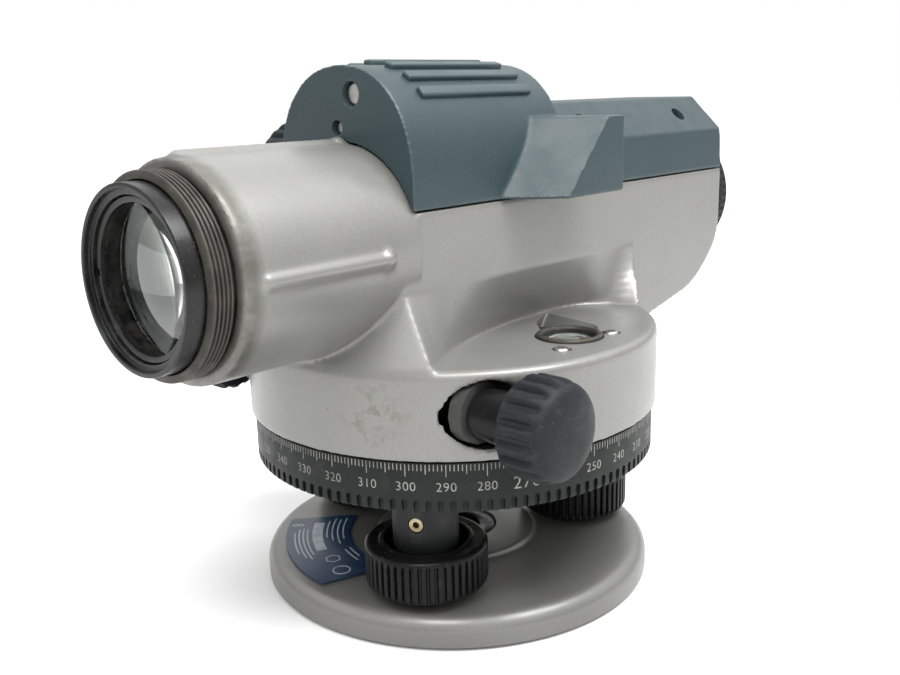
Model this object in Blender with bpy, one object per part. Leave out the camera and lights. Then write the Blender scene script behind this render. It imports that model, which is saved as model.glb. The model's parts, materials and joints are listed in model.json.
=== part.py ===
"""Automatic level: base plate, levelling tribrach, horizontal circle and telescope head.

+Z is up and the origin is the centre of the base plate's underside. The telescope
lies along X with its objective towards -X. Every dimension below is in
millimetres; the mesh helpers turn it into metres.
"""
import math

import bmesh
import bpy
from mathutils import Matrix, Vector

MM = 0.001
GAP = 0.3                    # clearance between pieces that touch
FINENESS = 0.5              # share of the nominal facets kept on turned pieces

# base plate and its tripod thread
PLATE_R = 55.2
PLATE_TOP = 8.3
BOSS_R = 22.8
BOSS_TOP = 9.7
THREAD_R = 7.0               # 5/8 inch tripod screw, crest of the female thread
INSERT_R = 11.5

# foot screws
FOOT_CIRCLE_R = 37.7
FOOT_START = -149.5          # degrees, first foot screw
FOOT_R = 16.0
FOOT_LOW = 9.5
FOOT_TOP = 22.8
POST_R = 8.6
POST_LOW = 20.8
SPINDLE_R = 4.0

# tribrach and horizontal circle
TRIBRACH_R = 51.0
TRIBRACH_LOW = 38.5
TRIBRACH_TOP = 45.8
HUB_R = 22.0
HUB_TOP = 56.9
CIRCLE_R = 56.0
CIRCLE_LOW = 37.0
CIRCLE_TOP = 49.6
AXIS_R = 8.0                 # steel vertical spindle

# housing
SKIRT_R = 57.0
SKIRT_LOW = 50.2
DECK_Z = 72.0                # horizontal deck that carries the bubble
CREASE_Z = 88.0
SEAM_Z = 107.0
HALF_WIDTH = 24.0
BODY_DRAW_IN = 0.9988        # the waisted body sits a hair inside the rear box
REAR_X = 109.0
SIGHT_Z = 97.5               # height of the line of sight
BARREL_R = 25.0
BARREL_FRONT = -87.5
BARREL_BACK = -36.6
BORE_R = 21.5
HUMP_FRONT = -38.0
HUMP_REAR = 21.0
HUMP_TOP = 141.0
WALL = 2.4

# azimuth drive
DRIVE_X = -35.5
DRIVE_Z = 61.4
DRIVE_KNOB_R = 12.0
DRIVE_KNOB_IN = 54.2
DRIVE_KNOB_OUT = 68.0
WORM_R = 5.0
WHEEL_R = 30.2

# focusing
FOCUS_X = -9.0
FOCUS_Z = 109.5
FOCUS_KNOB_R = 18.0
PINION_R = 2.5

# circular bubble
VIAL_X = 2.5
VIAL_Y = -39.0
VIAL_R = 8.7
VIAL_SCREW_CIRCLE = 12.5
VIAL_SCREW_CENTRE = (1.1, -39.3)

# compensator, reticle and eyepiece
PIVOT_X = 30.0
PIVOT_Z = 114.0
RETICLE_X = 71.5
EYEPIECE_END = 117.1
EYEPIECE_R = 23.0

TURN_TO = {
    "Z": Matrix.Identity(4),
    "X": Matrix.Rotation(math.radians(90), 4, "Y"),
    "Y": Matrix.Rotation(math.radians(-90), 4, "X"),
}


def clear_scene():
    for obj in list(bpy.data.objects):
        bpy.data.objects.remove(obj, do_unlink=True)


def paint(name, colour, roughness, metallic=0.0, transmission=0.0):
    material = bpy.data.materials.new(name)
    material.use_nodes = True
    shader = material.node_tree.nodes["Principled BSDF"]
    shader.inputs["Base Color"].default_value = (*colour, 1.0)
    shader.inputs["Roughness"].default_value = roughness
    shader.inputs["Metallic"].default_value = metallic
    shader.inputs["Transmission Weight"].default_value = transmission
    material.diffuse_color = (*colour, 1.0)
    return material


def finish(bm, name, material, origin=(0, 0, 0), sharp=38):
    """Close the mesh, put its origin on the given point and link the object."""
    origin = Vector(origin)
    bmesh.ops.remove_doubles(bm, verts=bm.verts, dist=1e-4)
    bmesh.ops.recalc_face_normals(bm, faces=bm.faces)
    bmesh.ops.translate(bm, vec=-origin, verts=bm.verts)
    bmesh.ops.scale(bm, vec=(MM, MM, MM), verts=bm.verts)
    mesh = bpy.data.meshes.new(name)
    bm.to_mesh(mesh)
    bm.free()
    mesh.shade_smooth()
    mesh.set_sharp_from_angle(angle=math.radians(sharp))
    obj = bpy.data.objects.new(name, mesh)
    obj.location = origin * MM
    obj.data.materials.append(material)
    bpy.context.collection.objects.link(obj)
    return obj


def lathe(bm, profile, axis="Z", centre=(0, 0, 0), segments=48, ring=True):
    """Turn (radius, height) points about an axis; a ring's profile is a closed loop."""
    verts = [bm.verts.new((r, 0, h)) for r, h in profile]
    pairs = list(zip(verts, verts[1:]))
    if ring:
        pairs.append((verts[-1], verts[0]))
    edges = [bm.edges.new(pair) for pair in pairs]
    before = set(bm.verts) - set(verts)
    bmesh.ops.spin(bm, geom=verts + edges, cent=(0, 0, 0), axis=(0, 0, 1),
                   angle=2 * math.pi, steps=max(14, round(segments * FINENESS)),
                   use_merge=True)
    made = [v for v in bm.verts if v not in before]
    place = Matrix.Translation(Vector(centre)) @ TURN_TO[axis]
    bmesh.ops.transform(bm, matrix=place, verts=made)


def turned(name, material, profile, axis="Z", centre=(0, 0, 0), segments=48, ring=True):
    bm = bmesh.new()
    lathe(bm, profile, axis, centre, segments, ring)
    return finish(bm, name, material, centre)


def tube(name, material, inner, outer, low, high, axis="Z", centre=(0, 0, 0),
         segments=48, chamfer=0.0):
    profile = [(inner, low), (outer - chamfer, low), (outer, low + chamfer),
               (outer, high - chamfer), (outer - chamfer, high), (inner, high)]
    if chamfer == 0.0:
        profile = [(inner, low), (outer, low), (outer, high), (inner, high)]
    return turned(name, material, profile, axis, centre, segments)


def rod(name, material, radius, low, high, axis="Z", centre=(0, 0, 0), segments=32,
        chamfer=0.0):
    if chamfer > 0.0:
        wall = [(radius - chamfer, low), (radius, low + chamfer), (radius, high - chamfer),
                (radius - chamfer, high)]
    else:
        wall = [(radius, low), (radius, high)]
    profile = [(0, low)] + wall + [(0, high)]
    return turned(name, material, profile, axis, centre, segments, ring=False)


def prism(bm, outline, low, high, plane):
    """Extrude a flat outline: plane XZ runs along Y, YZ along X and XY along Z."""
    place = {"XZ": lambda a, b, c: (a, c, b), "YZ": lambda a, b, c: (c, a, b),
             "XY": lambda a, b, c: (a, b, c)}[plane]
    base = bm.faces.new([bm.verts.new(place(a, b, low)) for a, b in outline])
    top = bmesh.ops.extrude_face_region(bm, geom=[base])
    moved = [g for g in top["geom"] if isinstance(g, bmesh.types.BMVert)]
    step = Vector(place(0, 0, high)) - Vector(place(0, 0, low))
    bmesh.ops.translate(bm, vec=step, verts=moved)


def prism_piece(name, material, outline, low, high, plane, origin=(0, 0, 0)):
    bm = bmesh.new()
    prism(bm, outline, low, high, plane)
    return finish(bm, name, material, origin)


def block(name, material, low, high, origin=(0, 0, 0), bevel=0.0):
    bm = bmesh.new()
    corners = [(low[0], low[1]), (high[0], low[1]), (high[0], high[1]), (low[0], high[1])]
    prism(bm, corners, low[2], high[2], "XY")
    if bevel > 0.0:
        bmesh.ops.bevel(bm, geom=bm.edges[:], offset=bevel, segments=2, profile=0.5,
                        affect="EDGES", material=-1)
    return finish(bm, name, material, origin)


def stacked(name, material, rings, origin=(0, 0, 0)):
    """Skin closed outlines that lie one above the other, and cap both ends."""
    bm = bmesh.new()
    layers = [[bm.verts.new(p) for p in ring] for ring in rings]
    count = len(rings[0])
    for low, high in zip(layers, layers[1:]):
        for i in range(count):
            j = (i + 1) % count
            bm.faces.new((low[i], low[j], high[j], high[i]))
    bm.faces.new(layers[0])
    bm.faces.new(layers[-1])
    bmesh.ops.triangulate(bm, faces=[f for f in bm.faces if len(f.verts) > 4])
    return finish(bm, name, material, origin)


def combine(base, other, operation):
    """Cut, join or intersect base with a hidden tool object."""
    step = base.modifiers.new(operation.lower(), "BOOLEAN")
    step.operation = operation
    step.object = other
    step.solver = "EXACT"
    other.hide_render = True
    other.display_type = "WIRE"


def cut(base, *tools):
    for tool in tools:
        combine(base, tool, "DIFFERENCE")


def join(base, *tools):
    for tool in tools:
        combine(base, tool, "UNION")


def arc(centre, radius, start, end, steps):
    """Points of a circular arc, angles in degrees."""
    points = []
    for i in range(steps + 1):
        angle = math.radians(start + (end - start) * i / steps)
        points.append((centre[0] + radius * math.cos(angle),
                       centre[1] + radius * math.sin(angle)))
    return points


def foot_centre(index):
    angle = math.radians(FOOT_START + 120.0 * index)
    return FOOT_CIRCLE_R * math.cos(angle), FOOT_CIRCLE_R * math.sin(angle)


def base_plate(paints):
    fillet = arc((PLATE_R - 4.0, PLATE_TOP - 4.0), 4.0, 0, 90, 5)
    profile = [(INSERT_R + GAP, 0), (PLATE_R - 1.0, 0), (PLATE_R, 1.0)] + fillet
    profile += [(BOSS_R + 0.6, PLATE_TOP), (BOSS_R, BOSS_TOP - 0.4),
                (BOSS_R - 1.0, BOSS_TOP), (INSERT_R + GAP, BOSS_TOP)]
    plate = turned("base_plate", paints["silver"], profile, segments=72)
    for index in range(3):
        x, y = foot_centre(index)
        socket = rod(f"foot_socket_tool_{index + 1}", paints["steel"], 4.7, 1.3, 12.0,
                     centre=(x, y, 0), segments=20)
        seat = rod(f"retainer_seat_tool_{index + 1}", paints["steel"], 7.7, 6.5, 12.0,
                   centre=(x, y, 0), segments=24)
        cut(plate, socket, seat)
        tube(f"foot_retainer_{index + 1}", paints["brass"], 3.6, 7.4, 6.8, 8.0,
             centre=(x, y, 0), segments=24)
    tube("tripod_thread_insert", paints["steel"], THREAD_R, INSERT_R, 0.4,
         BOSS_TOP - 0.3, segments=40, chamfer=0.5)
    outline = arc((0, 0), PLATE_R - 5.0, 125, 177, 11) + arc((0, 0), BOSS_R + 8.8, 187, 116, 9)
    low = PLATE_TOP + GAP
    prism_piece("rating_label", paints["navy"], outline, low, low + 0.3, "XY")


def foot_screws(paints):
    for index in range(3):
        x, y = foot_centre(index)
        number = index + 1
        knob = [(SPINDLE_R + GAP, FOOT_LOW), (FOOT_R - 2.4, FOOT_LOW), (FOOT_R, FOOT_LOW + 2.0),
                (FOOT_R, FOOT_TOP - 1.6), (FOOT_R - 1.2, FOOT_TOP), (12.0, FOOT_TOP),
                (11.2, FOOT_TOP - 0.8), (11.0, FOOT_TOP - 4.0), (SPINDLE_R + GAP, FOOT_TOP - 4.0)]
        turned(f"foot_screw_knob_{number}", paints["black"], knob, centre=(x, y, 0))
        shank = [(0, 1.6), (2.4, 1.8), (4.2, 3.2), (4.2, 4.8), (3.2, 6.0), (3.2, 8.8),
                 (SPINDLE_R, 9.8), (SPINDLE_R, 30.0), (3.3, 31.0), (3.3, 43.0), (0, 43.0)]
        turned(f"foot_screw_spindle_{number}", paints["steel"], shank, centre=(x, y, 0),
               segments=20, ring=False)


def tribrach(paints):
    plate = turned("tribrach_plate", paints["dark"], [
        (AXIS_R + GAP, TRIBRACH_LOW), (TRIBRACH_R - 1.0, TRIBRACH_LOW),
        (TRIBRACH_R, TRIBRACH_LOW + 1.0), (TRIBRACH_R, TRIBRACH_TOP),
        (HUB_R, TRIBRACH_TOP), (HUB_R, HUB_TOP), (AXIS_R + GAP, HUB_TOP)], segments=64)
    clear_r = SPINDLE_R + 0.6
    for index in range(3):
        x, y = foot_centre(index)
        number = index + 1
        hole = rod(f"bush_hole_tool_{number}", paints["dark"], POST_R - 1.5 + GAP,
                   TRIBRACH_LOW - 2.0, TRIBRACH_TOP + 2.0, centre=(x, y, 0), segments=28)
        cut(plate, hole)
        post = [(clear_r, POST_LOW), (POST_R - 0.8, POST_LOW), (POST_R, POST_LOW + 0.8),
                (POST_R, TRIBRACH_LOW - GAP), (POST_R - 1.5, TRIBRACH_LOW - GAP),
                (POST_R - 1.5, TRIBRACH_TOP - 0.4), (clear_r, TRIBRACH_TOP - 0.4)]
        bush = turned(f"foot_bush_{number}", paints["dark"], post, centre=(x, y, 0),
                      segments=28)
        facing = math.degrees(math.atan2(y, x)) - 3.0
        outward = Matrix.Rotation(math.radians(facing), 4, "Z")
        middle = Vector((x, y, 29.3))
        place = Matrix.Translation(middle) @ outward @ TURN_TO["X"]
        for name, radius, start, end in (
                (f"set_screw_tool_{number}", 2.1, clear_r - 1.0, POST_R + 3.0),
                (f"bush_set_screw_{number}", 1.8, clear_r + 0.4, POST_R - 0.2)):
            bm = bmesh.new()
            lathe(bm, [(0, start), (radius, start), (radius, end), (0, end)], segments=16,
                  ring=False)
            bmesh.ops.transform(bm, matrix=place, verts=bm.verts)
            piece = finish(bm, name, paints["brass"], (x, y, 0))
            if "tool" in name:
                cut(bush, piece)
    shank = [(0, 36.4), (11.0, 36.4), (11.0, TRIBRACH_LOW - GAP), (AXIS_R, TRIBRACH_LOW - GAP),
             (AXIS_R, 68.0), (AXIS_R - 1.0, 69.0), (0, 69.0)]
    turned("vertical_spindle", paints["steel"], shank, ring=False)
    tube("spring_plate", paints["steel"], 9.5, 21.5, 33.0, 34.2, segments=40)


def horizontal_circle(paints):
    low_flange = TRIBRACH_TOP + 0.4
    turned("horizontal_circle", paints["dark"], [
        (CIRCLE_R - 4.2, CIRCLE_LOW), (CIRCLE_R - 0.5, CIRCLE_LOW),
        (CIRCLE_R, CIRCLE_LOW + 0.5), (CIRCLE_R, CIRCLE_TOP), (HUB_R + 0.4, CIRCLE_TOP),
        (HUB_R + 0.4, low_flange), (CIRCLE_R - 4.2, low_flange)], segments=90)
    tube("worm_wheel", paints["brass"], 18.5, WHEEL_R, HUB_TOP + GAP, 65.5, segments=60,
         chamfer=0.8)
    tube("clutch_washer", paints["steel"], 18.5, 23.0, 65.8, 66.6, segments=40)


def plan_outline(z):
    """Half outline of the waisted body seen from above, on the -Y side, front to rear."""
    if z <= DECK_Z:
        front = arc((0, 0), SKIRT_R - 0.5, 180, 218, 4)
        side = [(-38.0, -31.0), (-28.0, -26.0), (-15.0, -21.2), (0.0, -18.0), (13.0, -16.8),
                (26.0, -16.9), (35.0, -19.4), (41.0, -25.5)]
        rear = arc((0, 0), SKIRT_R - 1.0, -37.5, 0, 4)
    elif z <= CREASE_Z:
        front = [(-46.0, 0.0), (-45.6, -7.0), (-45.0, -13.0), (-44.0, -19.0),
                 (-42.0, -HALF_WIDTH)]
        side = [(x, -HALF_WIDTH) for x in (-37.0, -28.0, -15.0, 0.0, 13.0, 26.0, 36.0, 45.0)]
        rear = [(56.0, -HALF_WIDTH), (57.0, -18.0), (57.0, -12.0), (57.0, -6.0), (57.0, 0.0)]
    else:
        front = [(-36.0, -HALF_WIDTH * t) for t in (0.0, 0.3, 0.55, 0.8, 1.0)]
        side = [(x, -HALF_WIDTH) for x in (-33.0, -26.0, -15.0, 0.0, 13.0, 26.0, 36.0, 45.0)]
        rear = [(56.0, -HALF_WIDTH), (57.0, -18.0), (57.0, -12.0), (57.0, -6.0), (57.0, 0.0)]
    return front + side + rear


def body_ring(z, shape_z):
    half = [(x, y * BODY_DRAW_IN) for x, y in plan_outline(shape_z)]
    mirrored = [(x, -y) for x, y in reversed(half[1:-1])]
    return [(x, y, z) for x, y in half + mirrored]


def lower_housing(paints):
    silver = paints["silver"]
    top = SEAM_Z - 0.15
    housing = stacked("lower_housing", silver, [
        body_ring(DECK_Z - 1.2, DECK_Z), body_ring(DECK_Z, DECK_Z),
        body_ring(CREASE_Z, CREASE_Z), body_ring(top, SEAM_Z)])
    rim = arc((SKIRT_R - 2.0, DECK_Z - 2.0), 2.0, 0, 90, 4)
    skirt = turned("skirt_tool", silver, [(0, DECK_Z)] + rim[::-1] + [
        (SKIRT_R, SKIRT_LOW), (53.5, SKIRT_LOW), (53.5, 69.8), (15.5, 69.8), (15.5, 58.0),
        (11.3, 58.0), (11.3, 70.1), (0, 70.1)], segments=80, ring=False)
    side_view = [(54.5, 61.8), (66.0, 64.2), (90.0, 69.3), (97.0, 73.0), (104.0, 78.8),
                 (107.6, 83.5), (REAR_X, 88.0), (REAR_X, top - 0.02), (46.0, top - 0.02),
                 (46.0, 73.0), (54.5, 73.0)]
    rear = prism_piece("rear_tool", silver, side_view, -HALF_WIDTH, HALF_WIDTH, "XZ")
    barrel = turned("barrel_tool", silver, [
        (BORE_R, BARREL_FRONT), (BARREL_R - 0.7, BARREL_FRONT), (BARREL_R, BARREL_FRONT + 0.7),
        (BARREL_R, BARREL_BACK), (BORE_R, BARREL_BACK)], axis="X", centre=(0, 0, SIGHT_Z),
        segments=64)
    boss = tube("focus_boss_tool", silver, 4.6, 10.0, 20.0, 28.5, axis="Y",
                centre=(FOCUS_X, 0, FOCUS_Z), segments=36)
    join(housing, skirt, rear, barrel, boss)
    for name, angle, start, end in (("rib_top_tool", 90.0, -86.0, -38.3),
                                    ("rib_left_tool", 180.0, -83.0, -44.0),
                                    ("rib_right_tool", 0.0, -83.0, -44.0)):
        rib = block(name, silver, (start, BARREL_R - 2.0, -1.4), (end, BARREL_R + 1.3, 1.4),
                    bevel=0.6)
        rib.rotation_euler = (math.radians(angle), 0, 0)
        rib.location = (0, 0, SIGHT_Z * MM)
        join(housing, rib)
    bore = rod("bore_tool", silver, BORE_R - 0.02, -75.0, -28.0, axis="X",
               centre=(0, 0, SIGHT_Z), segments=64)
    room = prism_piece("room_tool", silver, [
        (-13.0, 75.6), (13.0, 75.6), (21.6, 90.0), (21.6, 122.0), (-21.6, 122.0),
        (-21.6, 90.0)], -33.4, 97.0, "YZ")
    shaft_way = rod("shaft_way_tool", silver, 8.0, -62.0, 62.0, axis="Y",
                    centre=(DRIVE_X, 0, DRIVE_Z), segments=36)
    focus_way = rod("focus_way_tool", silver, 4.58, 18.0, 27.0, axis="Y",
                    centre=(FOCUS_X, 0, FOCUS_Z), segments=36)
    eye_way = rod("eyepiece_way_tool", silver, 14.3, 94.0, 112.0, axis="X",
                  centre=(0, 0, SIGHT_Z), segments=36)
    vial_way = rod("vial_way_tool", silver, VIAL_R + GAP, 66.0, 74.0,
                   centre=(VIAL_X, VIAL_Y, 0), segments=36)
    niche = rod("niche_tool", silver, 12.0, 70.9, 84.0, centre=(8.0, -32.0, 0), segments=36)
    cut(housing, bore, room, shaft_way, focus_way, eye_way, vial_way, niche)
    for number, (x, y) in enumerate(vial_screw_centres(), start=1):
        cut(housing, rod(f"vial_screw_tool_{number}", silver, 2.5, 62.0, 76.0,
                         centre=(x, y, 0), segments=16))
    tube("spindle_bush", paints["brass"], AXIS_R + 0.25, 11.0, 58.4, 69.6, segments=32)


def vial_screw_centres():
    x, y = VIAL_SCREW_CENTRE
    return arc((x, y), VIAL_SCREW_CIRCLE, -150.0, 90.0, 2)


def bubble(paints):
    centre = (VIAL_X, VIAL_Y, 0)
    turned("vial_ring", paints["corroded"], [
        (6.9, 66.2), (8.2, 66.2), (VIAL_R, 66.8), (VIAL_R, 72.4), (VIAL_R - 0.5, 72.9),
        (7.3, 72.9), (6.9, 72.3)], centre=centre, segments=36)
    rod("vial_glass", paints["glass"], 6.6, 66.6, 72.0, centre=centre, segments=32, chamfer=0.5)
    for number, (x, y) in enumerate(vial_screw_centres(), start=1):
        top = 72.5 if number < 3 else 71.2
        rod(f"vial_screw_{number}", paints["steel"], 2.1, 67.2, top, centre=(x, y, 0),
            segments=16, chamfer=0.3)


def hump_section(inset, steps=28):
    """Rounded arch of the cover's front half, bottom left to bottom right."""
    half = HALF_WIDTH + 0.1 - inset
    base = 112.5
    rise = HUMP_TOP - inset - base
    bottom = SEAM_Z + 0.15 if inset == 0 else SEAM_Z - 3.0
    points = [(half, bottom)]
    for i in range(steps + 1):
        angle = math.pi * i / steps
        across = abs(math.cos(angle)) ** (2 / 2.25) * math.copysign(1, math.cos(angle))
        points.append((half * across, base + rise * math.sin(angle) ** (2 / 2.25)))
    points.append((-half, bottom))
    return points


def rear_section(inset):
    bottom = SEAM_Z + 0.15 if inset == 0 else SEAM_Z - 3.0
    side = [(HALF_WIDTH + 0.1 - inset, bottom), (23.3 - inset, 119.8 - inset * 0.4),
            (12.6 - inset * 0.4, 130.3 - inset)]
    return side + [(-y, z) for y, z in reversed(side)]


def rib_height(y):
    half = HALF_WIDTH + 0.1
    rise = HUMP_TOP - 112.5
    return 112.5 + rise * (1 - (abs(y) / half) ** 2.25) ** (1 / 2.25)


def mirror_shell(name, material, inset):
    """Wedge over the bubble whose slanted wall carries the mirror."""
    out_y = -38.0 + inset
    low = SEAM_Z + 0.15 - (4.0 if inset else 0.0)
    rear = 28.3 + (4.0 if inset else 0.0)
    high = 127.0 - inset
    lean = inset * 0.75
    skew = 0.76                    # the slanted wall is turned a little towards the rear
    reach = -20.0 - out_y
    slope = (21.0 - 3.4) / (127.0 - 107.15)
    foot_x = 3.4 + lean - slope * (107.15 - low)
    head_x = 21.0 + lean - slope * inset
    near = [(foot_x, out_y, low), (rear, out_y, low), (rear, out_y, high), (head_x, out_y, high)]
    far = [(foot_x - skew * reach, out_y + reach, low), (rear, out_y + reach, low),
           (rear, out_y + reach, high), (head_x - skew * reach, out_y + reach, high)]
    return stacked(name, material, [near, far])


def top_cover(paints):
    teal = paints["teal"]
    cover = prism_piece("top_cover", teal, hump_section(0), HUMP_FRONT, HUMP_REAR, "YZ")
    tail = prism_piece("tail_tool", teal, rear_section(0), HUMP_REAR - 4.0, REAR_X, "YZ")
    wedge = mirror_shell("wedge_tool", teal, 0)
    join(cover, tail, wedge)
    for number, y in enumerate((-17.3, -12.9, -7.2, 0.0, 7.2, 12.9, 17.3), start=1):
        z = rib_height(y)
        slope = math.atan2(rib_height(y + 0.5) - rib_height(y - 0.5), 1.0)
        rib = block(f"cover_rib_tool_{number}", teal, (-28.5, -1.4, -2.0), (13.0, 1.4, 1.3),
                    bevel=0.6)
        rib.rotation_euler = (slope, 0, 0)
        rib.location = (0, y * MM, z * MM)
        join(cover, rib)
    hollow = prism_piece("hump_room_tool", teal, hump_section(WALL), HUMP_FRONT + WALL,
                         HUMP_REAR - WALL, "YZ")
    tail_hollow = prism_piece("tail_room_tool", teal, rear_section(WALL),
                              HUMP_REAR - 6.0, REAR_X - WALL, "YZ")
    wedge_hollow = mirror_shell("wedge_room_tool", teal, 1.8)
    keep_side = block("wedge_limit_tool", teal, (-20.0, -60.0, 100.0), (40.0, -24.6, 140.0))
    combine(wedge_hollow, keep_side, "INTERSECT")
    arch = rod("arch_tool", teal, BARREL_R + 0.35, HUMP_FRONT - 4.0, HUMP_FRONT + 6.0,
               axis="X", centre=(0, 0, SIGHT_Z), segments=64)
    boss_way = rod("boss_way_tool", teal, 10.35, 14.0, 32.0, axis="Y",
                   centre=(FOCUS_X, 0, FOCUS_Z), segments=36)
    eye_way = rod("cover_eye_tool", teal, 14.3, 100.0, 112.0, axis="X",
                  centre=(0, 0, SIGHT_Z), segments=36)
    cut(cover, hollow, tail_hollow, wedge_hollow, arch, boss_way, eye_way)
    spots = ((HUMP_FRONT + WALL / 2, -3.9, 134.2, "X", 3.0),
             (HUMP_FRONT + WALL / 2, 1.5, 126.2, "X", 1.9))
    for number, (x, y, z, axis, radius) in enumerate(spots, start=1):
        hole = rod(f"front_hole_tool_{number}", teal, radius, -3.0, 3.0, axis=axis,
                   centre=(x, y, z), segments=20)
        cut(cover, hole)
        rod(f"cover_screw_{number}", paints["steel"], radius - 0.4, -0.6, 3.0, axis=axis,
            centre=(x + 0.8, y, z), segments=16, chamfer=0.3)
    for number, (x, side) in enumerate(((90.5, -1), (38.0, -1), (90.5, 1), (38.0, 1)), start=3):
        tilt = math.radians(44.5 * side)
        hole = rod(f"tail_hole_tool_{number}", teal, 2.6, -6.0, 6.0, segments=20)
        hole.location = (x * MM, 18.0 * side * MM, 125.2 * MM)
        hole.rotation_euler = (-tilt, 0, 0)
        cut(cover, hole)


def level_mirror(paints):
    """Glass plate under the slanted wall of the wedge."""
    normal = Vector((-0.664, -0.486, 0.569)).normalized()
    along = Vector((-0.56, 0.83, 0.0))
    along = (along - along.dot(normal) * normal).normalized()
    up = normal.cross(along)
    centre = Vector((7.0, -31.4, 116.4)) - normal * 2.5
    half = ((-3.4, -6.0), (3.4, -6.0), (3.4, 6.0), (-3.4, 6.0))
    near = [centre + along * a + up * b for a, b in half]
    far = [p - normal * 0.9 for p in near]
    stacked("level_mirror", paints["mirror"], [near, far])


def objective(paints):
    centre = (0, 0, SIGHT_Z)
    turned("objective_collar", paints["corroded"], [
        (20.9, -93.2), (21.6, -93.6), (22.7, -92.6), (22.7, -88.0), (21.2, -87.8),
        (21.2, -80.0), (20.9, -80.0)], "X", centre, segments=64)
    turned("objective_ring", paints["gloss"], [
        (18.0, -97.0), (18.6, -97.9), (20.0, -97.9), (20.6, -97.3), (20.6, -82.0),
        (18.0, -82.0)], "X", centre, segments=64)
    tube("objective_retainer", paints["gloss"], 16.3, 17.7, -95.8, -94.2, "X", centre,
         segments=56)
    lens = [(0, -93.4)]
    lens += [(17.5 * t, -93.4 + 2.9 * t * t) for t in (0.25, 0.5, 0.75, 1.0)]
    lens += [(17.5, -85.5), (0, -85.5)]
    turned("objective_lens", paints["glass"], lens, "X", centre, segments=56, ring=False)


def azimuth_drive(paints):
    centre = (DRIVE_X, 0, DRIVE_Z)
    rod("drive_shaft", paints["steel"], 3.0, -62.0, 62.0, "Y", centre, segments=20)
    tube("drive_worm", paints["brass"], 3.3, WORM_R, -9.0, 9.0, "Y", centre, segments=24,
         chamfer=0.5)
    for side, word in ((-1, "left"), (1, "right")):
        tube(f"drive_bearing_{word}", paints["dark"], 3.2, 7.6, 37.8 * side, 41.6 * side, "Y",
             centre, segments=28)
        tube(f"drive_hub_{word}", paints["black"], 3.3, 6.3, 42.4 * side,
             (DRIVE_KNOB_IN + 2.0) * side, "Y", centre, segments=28)
        inner, outer = DRIVE_KNOB_IN, DRIVE_KNOB_OUT
        profile = [(3.4, inner + 2.4), (6.6, inner + 2.4), (6.6, inner + 0.6),
                   (DRIVE_KNOB_R - 1.5, inner), (DRIVE_KNOB_R, inner + 1.0),
                   (DRIVE_KNOB_R, outer - 5.5), (DRIVE_KNOB_R - 1.0, outer - 3.2),
                   (DRIVE_KNOB_R - 3.2, outer - 1.3), (5.5, outer - 0.3), (0, outer),
                   (0, outer - 4.0), (3.4, outer - 4.0)]
        profile = [(r, y * side) for r, y in profile]
        turned_knob = [profile[10], profile[11]] + profile[:10]
        turned(f"drive_knob_{word}", paints["rubber"], turned_knob, "Y", centre, segments=44,
               ring=False)


def focusing(paints):
    centre = (FOCUS_X, 0, FOCUS_Z)
    outer = 53.0
    profile = [(4.3, 29.4), (FOCUS_KNOB_R - 1.6, 29.4), (FOCUS_KNOB_R, 30.8),
               (FOCUS_KNOB_R, outer - 2.4), (FOCUS_KNOB_R - 2.2, outer - 0.5), (12.5, outer),
               (0, outer), (0, outer - 4.0), (4.3, outer - 4.0)]
    outline = [profile[7], profile[8]] + profile[:7]
    turned("focusing_knob", paints["rubber"], outline, "Y", centre, segments=56, ring=False)
    turned("focusing_pinion", paints["steel"], [
        (0, 6.0), (PINION_R, 6.0), (PINION_R, 12.5), (4.0, 13.0), (4.0, outer - 4.4),
        (0, outer - 4.4)], "Y", centre, segments=20, ring=False)
    sight = (0, 0, SIGHT_Z)
    cell = turned("focusing_lens_cell", paints["dark"], [
        (10.0, -60.0), (21.1, -60.0), (21.1, -46.0), (10.0, -46.0)], "X", sight, segments=40)
    rack = block("rack_tool", paints["dark"], (-50.0, 6.4, 103.9), (6.0, 12.0, 106.7))
    join(cell, rack)
    turned("focusing_lens", paints["glass"], [
        (0, -53.0), (5.0, -53.3), (9.7, -54.6), (9.7, -50.0), (5.0, -51.4), (0, -51.8)],
        "X", sight, segments=32, ring=False)


def compensator(paints):
    frame = block("compensator_frame", paints["dark"], (20.0, -17.5, 84.6), (40.0, 17.5, 118.0))
    room = block("frame_room_tool", paints["dark"], (18.0, -15.2, 87.4), (42.0, 15.2, 120.0))
    pivot_way = rod("pivot_way_tool", paints["dark"], 1.75, -22.0, 22.0, "Y",
                    (PIVOT_X, 0, PIVOT_Z), segments=20)
    cut(frame, room, pivot_way)
    arm = block("pendulum_arm", paints["brass"], (27.5, -13.5, 88.4), (32.5, 13.5, 117.0),
                origin=(PIVOT_X, 0, PIVOT_Z))
    light = rod("light_way_tool", paints["brass"], 8.0, 24.0, 36.0, "X", (0, 0, SIGHT_Z),
                segments=28)
    cut(arm, light)
    pin = rod("pivot_pin_tool", paints["steel"], 1.5, -17.0, 17.0, "Y",
              (PIVOT_X, 0, PIVOT_Z), segments=20)
    join(arm, pin)
    prism_piece("pendulum_prism", paints["glass"], [
        (18.5, 89.5), (27.0, 89.5), (27.0, 106.5), (22.0, 106.5)], -8.0, 8.0, "XZ",
        origin=(PIVOT_X, 0, PIVOT_Z))
    plate = block("reticle_mount", paints["dark"], (RETICLE_X - 1.5, -21.0, 90.6),
                  (RETICLE_X + 1.5, 21.0, 116.0))
    cut(plate, rod("reticle_way_tool", paints["dark"], 9.0, RETICLE_X - 4.0, RETICLE_X + 4.0,
                   "X", (0, 0, SIGHT_Z), segments=28))
    rod("reticle", paints["glass"], 8.7, RETICLE_X - 0.9, RETICLE_X + 0.9, "X",
        (0, 0, SIGHT_Z), segments=28)


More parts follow.
